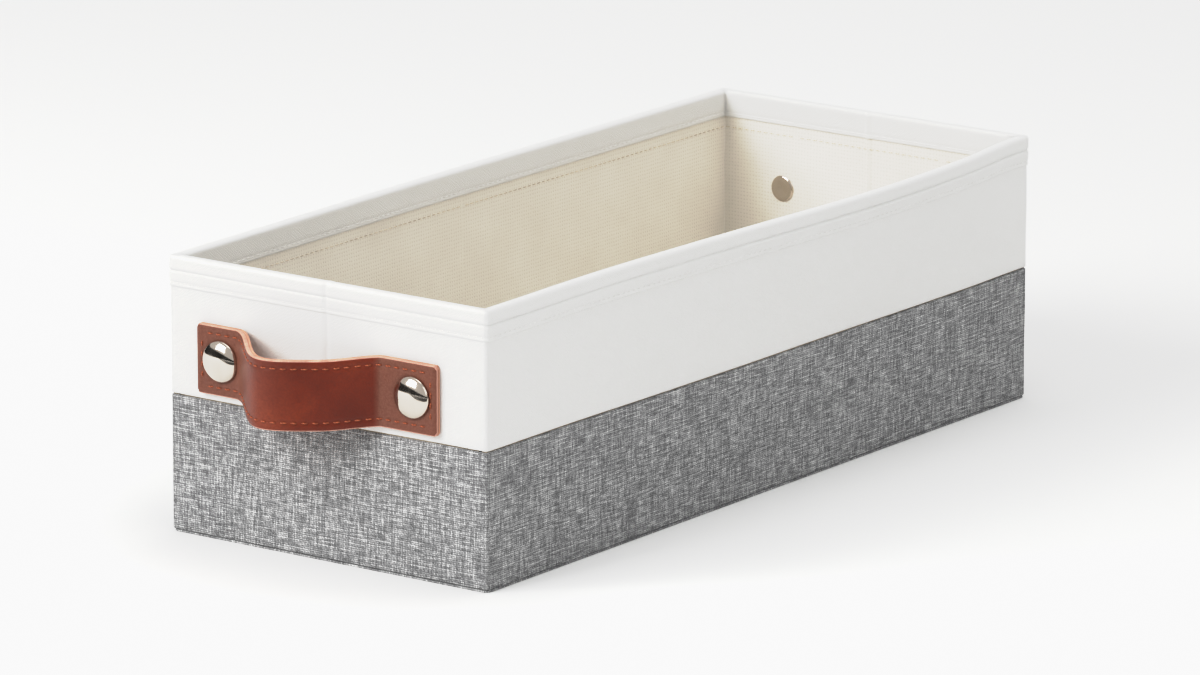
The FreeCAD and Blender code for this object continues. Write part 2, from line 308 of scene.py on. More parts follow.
def raw_leather(name, light, dark):
    """A cut edge or the flesh side of leather: matt, with fine fibres."""
    material, tree, shader = new_material(name)
    place = object_place(tree)
    fibres = scaled_noise(tree, place, 2400, 2400, detail=4)
    cloud = scaled_noise(tree, place, 180, 180, detail=3, offset=4.0)
    tone = maths(tree, "MULTIPLY", maths(tree, "ADD", fibres, cloud), 0.5)
    raised(tree, shader, fibres, 0.15 * MM)
    colour = ramp(tree, tone, [(0.36, dark), (0.62, light)])
    feed(tree, shader, {"Base Color": colour, "Roughness": 0.85})
    return material


def nickel():
    """Polished nickel plate with faint hairline marks."""
    material, tree, shader = new_material("nickel")
    place = object_place(tree)
    marks = scaled_noise(tree, place, 900, 5200, detail=2)
    haze = scaled_noise(tree, place, 260, 260, detail=3, offset=5.0)
    rough = ranged(tree, haze, 0.35, 0.7, 0.06, 0.14)
    tint = mixed(tree, haze, rgb(0.58, 0.52, 0.455), rgb(0.66, 0.60, 0.53))
    raised(tree, shader, marks, 0.004 * MM, 0.6)
    feed(tree, shader, {"Base Color": tint, "Roughness": rough, "Metallic": 1.0})
    return material


def card():
    """Grey-brown board with pressed fibres."""
    material, tree, shader = new_material("card")
    place = object_place(tree)
    fibres = scaled_noise(tree, place, 900, 900, detail=5)
    flecks = scaled_noise(tree, place, 260, 260, detail=2, offset=9.0)
    base = mixed(tree, fibres, rgb(0.30, 0.235, 0.16), rgb(0.50, 0.41, 0.29))
    spots = ramp(tree, flecks, [(0.62, rgb(0, 0, 0)), (0.70, rgb(1, 1, 1))])
    raised(tree, shader, fibres, 0.1 * MM)
    feed(tree, shader, {"Base Color": mixed(tree, spots, base, rgb(0.24, 0.18, 0.12)), "Roughness": 0.9})
    return material


def thread(name, light, dark):
    """Twisted sewing thread."""
    material, tree, shader = new_material(name)
    place = object_place(tree)
    turned = add(tree, "Mapping", {0: place, 2: (0.5, 0.7, 0.6)}).outputs[0]
    ply = add(tree, "TexWave", {"Vector": turned, "Scale": 480.0, "Distortion": 0.6}).outputs[1]
    raised(tree, shader, ply, 0.05 * MM)
    feed(tree, shader, {"Base Color": mixed(tree, ply, dark, light), "Roughness": 0.6})
    return material


def pale_floor():
    material, tree, shader = new_material("pale_floor")
    place = object_place(tree)
    cloud = scaled_noise(tree, place, 1.5, 1.5, detail=2)
    tint = mixed(tree, cloud, rgb(0.79, 0.79, 0.785), rgb(0.82, 0.82, 0.815))
    feed(tree, shader, {"Base Color": tint, "Roughness": 0.7, "Specular IOR Level": 0.0})
    return material


WHITE_CLOTH = white_cloth()
GREY_CLOTH = grey_cloth()
LINING_CLOTH = lining_cloth()
LEATHER_EDGE = raw_leather("leather_edge", rgb(0.60, 0.37, 0.30), rgb(0.42, 0.22, 0.16))
LEATHER_BACKING = raw_leather("leather_backing", rgb(0.60, 0.34, 0.24), rgb(0.40, 0.19, 0.12))
NICKEL = nickel()
CARD = card()
WHITE_THREAD = thread("white_thread", rgb(0.88, 0.87, 0.85), rgb(0.66, 0.65, 0.63))
LINING_THREAD = thread("lining_thread", rgb(0.70, 0.63, 0.52), rgb(0.46, 0.40, 0.31))
BROWN_THREAD = thread("brown_thread", rgb(0.40, 0.115, 0.045), rgb(0.20, 0.045, 0.016))

# -------------------- mesh building


def new_object(name, points, faces, materials, face_materials=None, uvs=None, sharp=50):
    """A mesh object. uvs holds one (u, v) for each corner of each face, in face order."""
    mesh = bpy.data.meshes.new(name)
    mesh.from_pydata([tuple(point) for point in points], [], faces)
    if uvs is not None:
        layer = mesh.uv_layers.new(name=CLOTH_MAP)
        layer.data.foreach_set("uv", [value for corner in uvs for value in corner])
    for material in materials:
        mesh.materials.append(material)
    if face_materials is not None:
        mesh.polygons.foreach_set("material_index", face_materials)
    mesh.shade_smooth()
    mesh.set_sharp_from_angle(angle=math.radians(sharp))
    mesh.validate()
    obj = bpy.data.objects.new(name, mesh)
    bpy.context.scene.collection.objects.link(obj)
    return obj


def bands(rings, count, first=0):
    """The faces between rings of points that follow one another, with count points in each."""
    faces = []
    for ring in range(rings - 1):
        start = first + ring * count
        for step in range(count):
            after = (step + 1) % count
            faces.append((start + step, start + after, start + count + after, start + count + step))
    return faces


def skin(name, rings, along, across, materials, ring_materials=None, sharp=50):
    """A closed skin over a row of closed rings of points, with both ends shut.

    along has a length for each ring. across has one for each point of a ring, and one more for the way back
    to the first. ring_materials gives the material number of each strip between two points of a ring."""
    count = len(rings[0])
    points = [point for ring in rings for point in ring]
    faces, uvs, numbers = [], [], []
    for i in range(len(rings) - 1):
        for j in range(count):
            k = (j + 1) % count
            faces.append((i * count + j, (i + 1) * count + j, (i + 1) * count + k, i * count + k))
            for u, v in ((i, j), (i + 1, j), (i + 1, j + 1), (i, j + 1)):
                uvs.append((along[u], across[v]))
            numbers.append(ring_materials[j] if ring_materials else 0)
    last = (len(rings) - 1) * count
    faces += [tuple(range(count)), tuple(last + j for j in reversed(range(count)))]
    uvs += [(along[0], across[j]) for j in range(count)]
    uvs += [(along[-1], across[j]) for j in reversed(range(count))]
    edge = max(numbers)
    return new_object(name, points, faces, materials, numbers + [edge, edge], uvs, sharp)


def lengths(points, start=0.0):
    """The running length along a line of points."""
    total = [start]
    for near, far in zip(points, points[1:]):
        total.append(total[-1] + (Vector(far) - Vector(near)).length)
    return total


# A stitch's rings of points, as (share of its length, share of the thread's radius).
STITCH_RINGS = ((0.0, 0.45), (0.16, 0.85), (0.5, 1.0), (0.84, 0.85), (1.0, 0.45))
STITCH_LIFT = 0.4  # how far a stitch is moved outwards, in radii of its thread


def stitches(name, line, outward, material, pitch, length, radius):
    """A row of stitches along a line of points. Each stitch rises out of the cloth and goes back into it.
    outward gives the way out of the cloth at each point of the line."""
    run = lengths(line)
    count = max(1, int((run[-1] - (pitch - length)) / pitch))
    start = (run[-1] - count * pitch + (pitch - length)) / 2
    points, faces = [], []
    sides = 6
    index = 0

    def at(distance):
        nonlocal index
        while index < len(run) - 2 and run[index + 1] < distance:
            index += 1
        while index > 0 and run[index] > distance:
            index -= 1
        share = (distance - run[index]) / max(run[index + 1] - run[index], 1e-9)
        return line[index].lerp(line[index + 1], share), outward[index].lerp(outward[index + 1], share)

    for number in range(count):
        begin = start + number * pitch
        first = len(points)
        for share, width in STITCH_RINGS:
            distance = begin + share * length
            centre, out = at(distance)
            ahead, _ = at(distance + 0.05 * MM)
            behind, _ = at(distance - 0.05 * MM)
            forward = (ahead - behind).normalized()
            out = (out - forward * out.dot(forward)).normalized()
            side = forward.cross(out)
            centre = centre + out * radius * (STITCH_LIFT + math.sin(math.pi * share) - 0.75)
            for step in range(sides):
                turn = 2 * math.pi * step / sides
                points.append(centre + (side * math.cos(turn) + out * math.sin(turn)) * radius * width)
        faces += bands(len(STITCH_RINGS), sides, first)
        faces.append(tuple(first + step for step in reversed(range(sides))))
        tail = first + (len(STITCH_RINGS) - 1) * sides
        faces.append(tuple(tail + step for step in range(sides)))
    return new_object(name, points, faces, [material], sharp=80)


# -------------------- the bin's outline

# A station is a place along the outline: ("left", y), ("right", y), ("front", x), ("back", x), or for a
# rounded corner its name and the direction that faces out of it.
CORNERS = {"front_left": (-1, -1), "front_right": (1, -1), "back_right": (1, 1), "back_left": (-1, 1)}

CORNER_SIZE = HEM_IN + INNER_RADIUS + 0.1 * MM  # from the outside of the bin to where its corners start
WALL_REACH = HALF_LENGTH - CORNER_SIZE
END_REACH = HALF_WIDTH - CORNER_SIZE
OPEN_CORNER = HALF_WIDTH - HEM_IN - 0.3 * MM  # the back right corner's cut, on the back


def corner(name, first):
    return [(name, math.radians(turn)) for turn in spread(first, first + 90, 11.25)]


def along_wall(side, first, last):
    return [(side, y) for y in spread(first, last, 3 * MM)]


def along_end(side, first, last, step=2.5 * MM):
    return [(side, x) for x in spread(first, last, step)]


def over_crease(side, sign):
    """Across an end's middle, closer together at the crease."""
    near = 9 * MM * sign
    far = END_CUT * sign
    middle = along_end(side, near, -near, 0.6 * MM)
    return along_end(side, far, near)[:-1] + middle + along_end(side, -near, -far)[1:]


def outline_point(station, depth):
    """Where a station is at a depth into the wall, and the way out of the wall there."""
    kind, value = station
    if kind in WALLS:
        sign = WALLS[kind]
        return Vector((sign * (HALF_WIDTH - depth), value, 0)), Vector((sign, 0, 0))
    if kind in ENDS:
        sign = ENDS[kind]
        return Vector((value, sign * (HALF_LENGTH - depth), 0)), Vector((0, sign, 0))
    radius = max(CORNER_RADIUS - depth, INNER_RADIUS)
    out = Vector((math.cos(value), math.sin(value), 0))
    x_sign, y_sign = CORNERS[kind]
    centre = Vector((x_sign * (HALF_WIDTH - depth - radius), y_sign * (HALF_LENGTH - depth - radius), 0))
    return centre + out * radius, out


CREASE = 4 * MM  # a length bends this far each side of an end's crease
BEND_ON_WALL = HALF_LENGTH - 5.5 * MM  # and between these two places round a corner
BEND_ON_END = HALF_WIDTH - 9 * MM
FACE_X = HALF_WIDTH - CLOTH_OUT
FACE_Y = HALF_LENGTH - CLOTH_OUT


def corner_bend(x_sign, y_sign, wall_first):
    """Where a bend round a corner starts and ends."""
    on_wall = (x_sign * FACE_X, y_sign * BEND_ON_WALL, 0)
    on_end = (x_sign * BEND_ON_END, y_sign * FACE_Y, 0)
    return (on_wall, on_end) if wall_first else (on_end, on_wall)


def crease_bend(y_sign):
    return (-CREASE, y_sign * FACE_Y, 0), (CREASE, y_sign * FACE_Y, 0)


# Each length of a ring: its stations counter-clockwise from above, the two bodies on either side of its
# fold with the start and end of the bend, and the panels whose layers it stands for. The back right corner
# is
# open: a length there rides on one body.
LENGTHS = {
    "front_left_corner": (
        along_wall("left", 0, -WALL_REACH)
        + corner("front_left", 180)
        + along_end("front", -END_REACH, -END_CUT),
        ("left_wall", "front_left", *corner_bend(-1, -1, True)),
        ["left_wall"],
    ),
    "front": (
        over_crease("front", -1),
        ("front_left", "front_right", *crease_bend(-1)),
        ["front_left", "front_right"],
    ),
    "front_right_corner": (
        along_end("front", END_CUT, END_REACH)
        + corner("front_right", 270)
        + along_wall("right", -WALL_REACH, 0),
        ("front_right", "right_wall", *corner_bend(1, -1, False)),
        [],
    ),
    "right_side": (
        along_wall("right", 0, WALL_REACH) + corner("back_right", 0) + [("back", OPEN_CORNER)],
        ("right_wall",),
        ["right_wall"],
    ),
    "back_right_edge": (along_end("back", OPEN_CORNER, END_CUT), ("back_right",), []),
    "back": (
        over_crease("back", 1),
        ("back_left", "back_right", *crease_bend(1)),
        ["back_left", "back_right"],
    ),
    "back_left_corner": (
        along_end("back", -END_CUT, -END_REACH)
        + corner("back_left", 90)
        + along_wall("left", WALL_REACH, 0),
        ("left_wall", "back_left", *corner_bend(-1, 1, True)),
        [],
    ),
}


def join_body(obj, bodies):
    """Rides on one body. Between two bodies, its place is baked into its points and it rides on none."""
    if len(bodies) == 1:
        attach(obj, bodies[0])
    else:
        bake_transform(obj)


# The long walls' bows at the rim, as (how far out, middle, width) along the wall.
WALL_BOWS = {
    "left": [(1.2 * MM, -20 * MM, 80 * MM)],
    "right": [(6.4 * MM, 68 * MM, 86 * MM), (-0.9 * MM, -100 * MM, 40 * MM)],
}


def relief(station, point, height):
    """How far the whole wall stands out of its flat plane, at a place on it."""
    kind, _ = station
    if kind in WALLS:
        rise = (height / HEIGHT) ** 2
        fade = smooth((HALF_LENGTH - abs(point.y)) / (45 * MM))
        bow = sum(out * bump(point.y, middle, width) for out, middle, width in WALL_BOWS[kind])
        return rise * fade * bow
    if kind in ENDS:
        return -CREASE_DENT * bump(point.x, 0, 1.0 * MM) * smooth(height / (30 * MM))
    return 0.0


def away_from_join(run):
    """0 where the ring's two ends meet, on the left wall, and 1 a little way from there."""
    return smooth(min(run, RING_LENGTH - run) / (22 * MM))


def lining_sag(run, height):
    """How far the lining hangs loose of its board, into the bin."""
    held = smooth((HEIGHT - LINING_STITCH_DEPTH - height) / (14 * MM))
    held *= smooth((height - LINING_FOOT) / (10 * MM))
    loose = uneven(run * 17, height * 26, 12.5) + 0.5 * uneven(run * 48, height * 40, 2.5)
    return -LINING_SAG * held * away_from_join(run) * max(0.0, 0.35 + loose)


def pucker(run, height, depth):
    """Small unevenness of the outer cloth: soft wrinkles, and puckers along its seams."""
    if depth > CLOTH_OUT + 0.3 * MM:
        return 0.0
    hem_foot = HEIGHT - HEM_OUTER_DEPTH
    free = smooth((hem_foot - height) / (5 * MM)) if height < hem_foot else 0.0
    soft = uneven(run * 22, height * 30, 1.5) * 0.30 * MM
    fine = uneven(run * 75, height * 60, 8.5) * 0.10 * MM
    gathered = uneven(run * 260, 3.0, 5.0) * 0.14 * MM * bump(height, SEAM, 3 * MM)
    return free * away_from_join(run) * (soft + fine + gathered)


def hem_gape(station, point, height, depth):
    """How far the lower half of the right wall's hem stands off below its groove, where the wall bows."""
    if station[0] != "right" or depth > CLOTH_OUT - 0.01 * MM:
        return 0.0
    below = HEIGHT - HEM_GROOVE_DEPTH - height
    rising = smooth((below - 0.1 * MM) / (0.8 * MM))
    falling = smooth((HEM_OUTER_DEPTH - HEM_GROOVE_DEPTH - 1.8 * MM - below) / (3.2 * MM))
    waves = 0.55 + 0.45 * uneven(point.y * 28, 4.0, 2.0)
    return rising * falling * waves * (0.2 * MM + 0.9 * MM * bump(point.y, 50 * MM, 75 * MM))


ring_run = {}
run_so_far = 0.0
for length_name, (stations, _, _) in LENGTHS.items():
    flat_line = [outline_point(station, 0)[0] for station in stations]
    ring_run[length_name] = lengths(flat_line, run_so_far)
    run_so_far = ring_run[length_name][-1]
RING_LENGTH = run_so_far


def wall_point(station, run, depth, height, soft=None):
    """A point of a wall layer. soft is "cloth", "lining" or "hem", for the layer's own unevenness."""
    flat, out = outline_point(station, depth)
    shift = relief(station, flat, height)
    if soft == "lining":
        shift += lining_sag(run, height)
    elif soft == "hem":
        shift += hem_gape(station, flat, height, depth)
    elif soft:
        shift += pucker(run, height, depth)
        wave = uneven(run * 16, 0.5, 2.5) * 0.7 * MM * away_from_join(run)
        height += wave * bump(height, SEAM, 9 * MM)
        if station[0] not in WALLS:
            height = max(height, END_FOOT)
    return Vector((flat.x, flat.y, height)) + out * shift


def ring_layer(layer, profile, material, soft=None):
    """One layer of the walls, all round the bin. profile is the layer's closed section as (depth, height),
    up its outer side and down its inner side. Returns the pieces by length name."""
    pieces = {}
    across = lengths([(0, depth, height) for depth, height in profile + profile[:1]], profile[0][1])
    for length_name, (stations, bodies, panels) in LENGTHS.items():
        run = ring_run[length_name]
        rings = [
            [wall_point(station, distance, depth, height, soft) for depth, height in profile]
            for station, distance in zip(stations, run)
        ]
        obj = skin(f"{length_name}_{layer}", rings, run, across, [material])
        if panels:
            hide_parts(*[f"{panel}_{layer}" for panel in panels])
        join_body(obj, bodies)
        pieces[length_name] = (obj, run[-1] - run[0])
    return pieces


def slab(outer, inner, foot, top, step=2.5 * MM, round_foot=0.0, round_top=0.0, fine_back=False):
    """A thin upright section from one depth to another, with its outer edges rounded over. Its inner side
    has few points unless fine_back is set."""
    section = []
    if round_foot:
        section += [(outer + round_foot, foot), (outer + 0.3 * round_foot, foot + 0.3 * round_foot)]
    section += [(outer, z) for z in spread(foot + round_foot, top - round_top, step)]
    if round_top:
        section += [(outer + 0.3 * round_top, top - 0.3 * round_top), (outer + round_top, top)]
    back = spread(top, foot, step) if fine_back else (top, (foot + top) / 2, foot)
    return section + [(inner, z) for z in back]


EDGE = 0.6 * MM  # how far the cloth turns in at a seam
SEAM_GROOVE = 0.35 * MM

upper_section = slab(CLOTH_OUT, CLOTH_IN, SEAM, PANEL_TOP, round_foot=EDGE)
lower_section = slab(CLOTH_OUT, CLOTH_IN, PANEL_FOOT, SEAM - SEAM_GROOVE, round_foot=EDGE, round_top=EDGE)
lining_section = slab(LINING_OUT, LINING_IN, LINING_FOOT, PANEL_TOP, 4 * MM, fine_back=True)
upper_cloth = ring_layer("upper_cloth", upper_section, WHITE_CLOTH, "cloth")
lower_cloth = ring_layer("lower_cloth", lower_section, GREY_CLOTH, "cloth")
lining = ring_layer("lining", lining_section, LINING_CLOTH, "lining")


def hem_section():
    """The hem's section: an outer leg with a groove half way up, a rounded rim and an inner leg."""
    foot = HEIGHT - HEM_OUTER_DEPTH
    inner_foot = HEIGHT - HEM_INNER_DEPTH
    groove = HEIGHT - HEM_GROOVE_DEPTH
    rim = 1.3 * MM
    section = [(CLOTH_OUT, foot), (0.34 * MM, foot + 0.05 * MM), (0.18 * MM, foot + 0.3 * MM)]
    for z in spread(foot + 0.8 * MM, HEIGHT - rim, 0.35 * MM):
        dip = 0.12 * MM * (1 - smooth((z - foot) / (5 * MM)))
        dip += 0.52 * MM * bump(z, groove, 0.4 * MM) + 0.22 * MM * bump(z, foot + HEM_SEAM_INSET, 0.5 * MM)
        section.append((dip, z))
    angles = [math.radians(turn) for turn in (20, 40, 60, 80)]
    round_over = [(rim * (1 - math.cos(angle)), HEIGHT - rim * (1 - math.sin(angle))) for angle in angles]
    section += round_over + [(HEM_IN / 2, HEIGHT)]
    section += [(HEM_IN - inwards, z) for inwards, z in reversed(round_over)]
    for z in spread(HEIGHT - rim, inner_foot + 0.8 * MM, 0.8 * MM):
        section.append((HEM_IN - 0.22 * MM * bump(z, inner_foot + HEM_SEAM_INSET, 0.5 * MM), z))
    section += [(HEM_IN - 0.05 * MM, inner_foot + 0.3 * MM), (HEM_IN - 0.3 * MM, inner_foot)]
    section += [(LINING_IN, inner_foot), (LINING_IN, PANEL_TOP), (CLOTH_OUT, PANEL_TOP)]
    return section


hem = ring_layer("hem", hem_section(), WHITE_CLOTH, "hem")


def stitch_ring(layer, depth, height, material, outside, pitch=2.9 * MM, length=2.2 * MM, radius=0.17 * MM):
    """A row of machine stitches all round the bin."""
    rows = {}
    for length_name, (stations, bodies, _) in LENGTHS.items():
        run = ring_run[length_name]
        line = [wall_point(s, d, depth, height) for s, d in zip(stations, run)]
        outs = [outline_point(s, depth)[1] * (1 if outside else -1) for s in stations]
        row = stitches(f"{length_name}_{layer}", line, outs, material, pitch, length, radius)
        join_body(row, bodies)
        rows[length_name] = row
    return rows


outer_seam = HEIGHT - HEM_OUTER_DEPTH + HEM_SEAM_INSET
inner_seam = HEIGHT - HEM_INNER_DEPTH + HEM_SEAM_INSET
lining_seam = HEIGHT - LINING_STITCH_DEPTH
hem_stitches = stitch_ring("hem_stitches", HEM_STITCH_LEVEL, outer_seam, WHITE_THREAD, True)
stitch_ring("inner_hem_stitches", HEM_IN - 0.2 * MM, inner_seam, WHITE_THREAD, False)
lining_stitches = stitch_ring("lining_stitches", LINING_IN, lining_seam, LINING_THREAD, False)

# -------------------- the open corner's pleats

# The back right corner's cloth is slack on the real bin and folds round the end's edge. Here the hem and
# the two outer cloths each have a pleat that rides on the right wall. It is hidden inside the corner at
# rest, and closes the corner as the end folds.
PIVOT_X = HALF_WIDTH - HEM_IN - 0.15 * MM
PIVOT_Y = HALF_LENGTH - HEM_IN - 0.15 * MM
FIRST_TURN = -4  # in degrees round the pivot, as are the next two
CLOTH_LAST_TURN = 167
HEM_LAST_TURN = 174


def pleat(name, section, material, last_turn):
    """Part of a turn about the corner's pivot. section is closed, as (radius, height)."""
    turns = spread(FIRST_TURN, last_turn, 8)
    rings = []
    for turn in turns:
        x, y = math.cos(math.radians(turn)), math.sin(math.radians(turn))
        rings.append([Vector((PIVOT_X + r * x, PIVOT_Y + r * y, z)) for r, z in section])
    radius = max(r for r, _ in section)
    run = [math.radians(turn) * radius for turn in turns]
    across = lengths([(0, r, z) for r, z in section + section[:1]], section[0][1])
    piece = skin(name, rings, run, across, [material])
    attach(piece, "right_wall")


PLEAT_THICKNESS = 0.35 * MM  # thin, and short of the lining, so that nothing of it shows inside the bin
PLEAT_RADIUS = HALF_WIDTH - CLOTH_OUT - PIVOT_X - 0.15 * MM
HEM_PLEAT_RADIUS = HALF_WIDTH - PIVOT_X - 0.4 * MM


def cloth_pleat_section(foot, top):
    heights = spread(foot, top, 8 * MM)
    inner = PLEAT_RADIUS - PLEAT_THICKNESS
    return [(PLEAT_RADIUS, z) for z in heights] + [(inner, z) for z in reversed(heights)]


def hem_pleat_section():
    """Up the hem's outside, over its rounded rim and a little way down inside it."""
    foot, rim = HEIGHT - HEM_OUTER_DEPTH, HEIGHT - 1.5 * MM
    under, axis = HEIGHT - 2 * MM, 0.3 * MM
    section = [(PLEAT_RADIUS, foot), (HEM_PLEAT_RADIUS, foot)]
    section += [(HEM_PLEAT_RADIUS, z) for z in spread(foot + 1 * MM, rim, 3 * MM)]
    for turn in (25, 50, 75, 90):
        angle = math.radians(turn)
        inwards = 1.2 * MM * (1 - math.cos(angle))
        section.append((HEM_PLEAT_RADIUS - inwards, rim + 1.35 * MM * math.sin(angle)))
    return section + [(axis, HEIGHT - 0.15 * MM), (axis, under), (PLEAT_RADIUS, under)]


for layer, foot, top, material, slot_name, flat_height in (
    ("upper", SEAM + 0.2 * MM, PANEL_TOP - 0.5 * MM, WHITE_CLOTH, "white_cloth", PANEL_TOP - SEAM),
    ("lower", PANEL_FOOT + 0.4 * MM, SEAM - 0.2 * MM, GREY_CLOTH, "grey_cloth", SEAM - PANEL_FOOT),
):
    section = cloth_pleat_section(foot, top)
    pleat(f"right_wall_{layer}_pleat", section, material, CLOTH_LAST_TURN)
pleat("right_wall_hem_pleat", hem_pleat_section(), WHITE_CLOTH, HEM_LAST_TURN)

# -------------------- boards


def bowed_board(side):
    """A long wall's board, with the wall's relief."""
    low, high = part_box(f"{side}_wall_board")
    heights = spread(low.z, high.z, 5 * MM)
    profile = [(CLOTH_IN, z) for z in heights] + [(LINING_OUT, z) for z in reversed(heights)]
    stations = [(side, y) for y in spread(low.y, high.y, 4 * MM)]
    if side == "left":
        stations.reverse()
    run = [abs(y) for _, y in stations]
    rings = [[wall_point(s, 0, depth, z) for depth, z in profile] for s in stations]
    across = lengths([(0, depth, z) for depth, z in profile + profile[:1]])
    board = skin(f"{side}_wall_card", rings, run, across, [CARD])
    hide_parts(f"{side}_wall_board")
    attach(board, f"{side}_wall")


for side in WALLS:
    bowed_board(side)
for name in [f"{end}_{side}_board" for end in ENDS for side in WALLS] + ["base_board_card"]:
    board_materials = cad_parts[name].data.materials
    board_materials.clear()
    board_materials.append(CARD)

# -------------------- floor and base board

PLATE_MIDDLE = 8 * MM  # how far in the flat middle of a plate starts


def rounded_outline(half_width, half_length, radius):
    """An oblong with rounded corners, as (x, y)."""
    points = []
    for x_sign, y_sign, first in ((-1, -1, 180), (1, -1, 270), (1, 1, 0), (-1, 1, 90)):
        x, y = x_sign * (half_width - radius), y_sign * (half_length - radius)
        for turn in spread(first, first + 90, 15):
            angle = math.radians(turn)
            points.append((x + radius * math.cos(angle), y + radius * math.sin(angle)))
    return points


def plate_faces(low, high, levels, radius):
    """Points and faces of a flat closed plate. levels are (inset, height) from the middle of its underside,
    round its edge, to the middle of its top."""
    middle_x, middle_y = (low.x + high.x) / 2, (low.y + high.y) / 2
    points = []
    for inset, z in levels:
        half_width, half_length = (high.x - low.x) / 2 - inset, (high.y - low.y) / 2 - inset
        for x, y in rounded_outline(half_width, half_length, max(radius - inset, 0.15 * MM)):
            points.append(Vector((x + middle_x, y + middle_y, z)))
    count = len(points) // len(levels)
    faces = bands(len(levels), count)
    top = (len(levels) - 1) * count
    faces += [tuple(reversed(range(count))), tuple(top + j for j in range(count))]
    return points, faces


def plate(name, low, high, levels, radius, material, lined=None):
    """A flat piece of cloth, or a cover with lined giving the levels of its inside."""
    points, faces = plate_faces(low, high, levels, radius)
    if lined:
        inner_points, inner_faces = plate_faces(low, high, lined, 0.5 * MM)
        first = len(points)
        points += inner_points
        faces += [tuple(first + index for index in reversed(face)) for face in inner_faces]
    uvs = [(points[index].x, points[index].y) for face in faces for index in face]
    return new_object(name, points, faces, [material], uvs=uvs)


def rounded_levels(low, high, edge):
    """The edge of a plate from the middle of its underside to the middle of its top."""
    levels = [(PLATE_MIDDLE, low)]
    for turn in spread(-90, 90, 22.5):
        angle = math.radians(turn)
        height = (low + high) / 2 + (high - low) / 2 * math.sin(angle)
        levels.append((edge * (1 - math.cos(angle)), height))
    return levels + [(PLATE_MIDDLE, high)]


def fold_with_walls(piece):
    """Rides on the left wall, with a mesh of its own. The real floor folds up between the long walls."""
    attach(piece, "left_wall")
    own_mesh(piece)


floor_levels = rounded_levels(floor_low.z, floor_high.z, 0.4 * MM)
floor_sheet = plate("floor_outer_cloth", floor_low, floor_high, floor_levels, 2.4 * MM, GREY_CLOTH)
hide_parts("floor_cloth")
fold_with_walls(floor_sheet)

lining_levels = rounded_levels(inner_floor_low.z, LINING_FLOOR_TOP, 0.1 * MM)
floor_lining = plate(
    "floor_inner_cloth", inner_floor_low, inner_floor_high, lining_levels, 0.6 * MM, LINING_CLOTH
)
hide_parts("floor_lining")
fold_with_walls(floor_lining)


def base_board():
    """The loose base board's cloth cover, sewn 5 mm in from its edge."""
    low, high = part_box("base_board_cover")
    card_low, card_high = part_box("base_board_card")
    seam_inset = 5 * MM
    levels = rounded_levels(low.z, high.z, 0.8 * MM)[:-1]
    for inset in spread(2 * MM, 9 * MM, 0.5 * MM):
        levels.append((inset, high.z - 0.3 * MM * bump(inset, seam_inset, 0.7 * MM)))
    inside = [(PLATE_MIDDLE, card_low.z)]
    inside += [(0.45 * MM, z) for z in (card_low.z, card_high.z)]
    inside.append((PLATE_MIDDLE, card_high.z))
    cover = plate("base_board_cloth", low, high, levels, 1 * MM, LINING_CLOTH, lined=inside)
    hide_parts("base_board_cover")
    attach(cover, "base_board")
    half_width, half_length = (high.x - low.x) / 2 - seam_inset, (high.y - low.y) / 2 - seam_inset
    seam = rounded_outline(half_width, half_length, 1.5 * MM)
    line = [Vector((x, y, high.z - 0.2 * MM)) for x, y in seam]
    line.append(line[0].copy())
    outs = [Vector((0, 0, 1)) for _ in line]
    row = stitches("base_board_stitches", line, outs, LINING_THREAD, 3 * MM, 2.2 * MM, 0.18 * MM)
    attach(row, "base_board")


base_board()

# -------------------- handles

STRAP_HALF = (strap_high.z - strap_low.z) / 2
STRAP_MIDDLE = (strap_high.z + strap_low.z) / 2
SEAT_GAP = 0.2 * MM
LIFT_OFF = -38.5 * MM  # where the front strap leaves the cloth, across the bin
CREST = (-10 * MM, 21.3 * MM)  # where its bow stands furthest out, and how far
LANDING = 24.5 * MM  # where it comes back to the cloth
STRAP_SAG = 1.9 * MM
BACKING = 1.0 * MM
STRAP_THICK = 2.4 * MM
STITCH_INSET = 2.9 * MM
TIP_STITCH_INSET = 2.3 * MM
RIVET_PLACES = [sum(point.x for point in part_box(f"front_{side}_rivet_cap")) / 2 for side in WALLS]
CAP_RADIUS = (cap_high.z - cap_low.z) / 2
CAP_BASE = SEAT_GAP + STRAP_THICK


def bezier(points, count):
    """Points along a curve with four control points, without its start."""
    start, first, second, end = (Vector(point) for point in points)
    result = []
    for index in range(1, count + 1):
        t = index / count
        s = 1 - t
        result.append(start * s**3 + first * 3 * s * s * t + second * 3 * s * t * t + end * t**3)
    return result


def strap_line():
    """The front strap's inner face seen from above, as (x, distance from the cloth): flat under the left
    rivet, out into the bow, back to the cloth and flat under the right rivet."""
    tip_left, tip_right = strap_low.x, strap_high.x
    lift_off, crest, landing = Vector((LIFT_OFF, 0)), Vector(CREST), Vector((LANDING, 0))
    climb, fall = Vector((1, 0)) * MM, Vector((-1, 0.66)).normalized() * MM
    line = [Vector((x, 0)) for x in spread(tip_left, lift_off.x, 1 * MM)]
    line += bezier([lift_off, lift_off + climb * 8, crest - climb * 9, crest], 80)
    line += bezier([crest, crest + climb * 7, landing + fall * 26, landing + fall * 3.5], 80)
    line += bezier([landing + fall * 3.5, landing + fall * 1.4, landing, landing + climb * 2], 12)
    line += [Vector((x, 0)) for x in spread(landing.x + 2 * MM, tip_right, 1 * MM)[1:]]
    return line


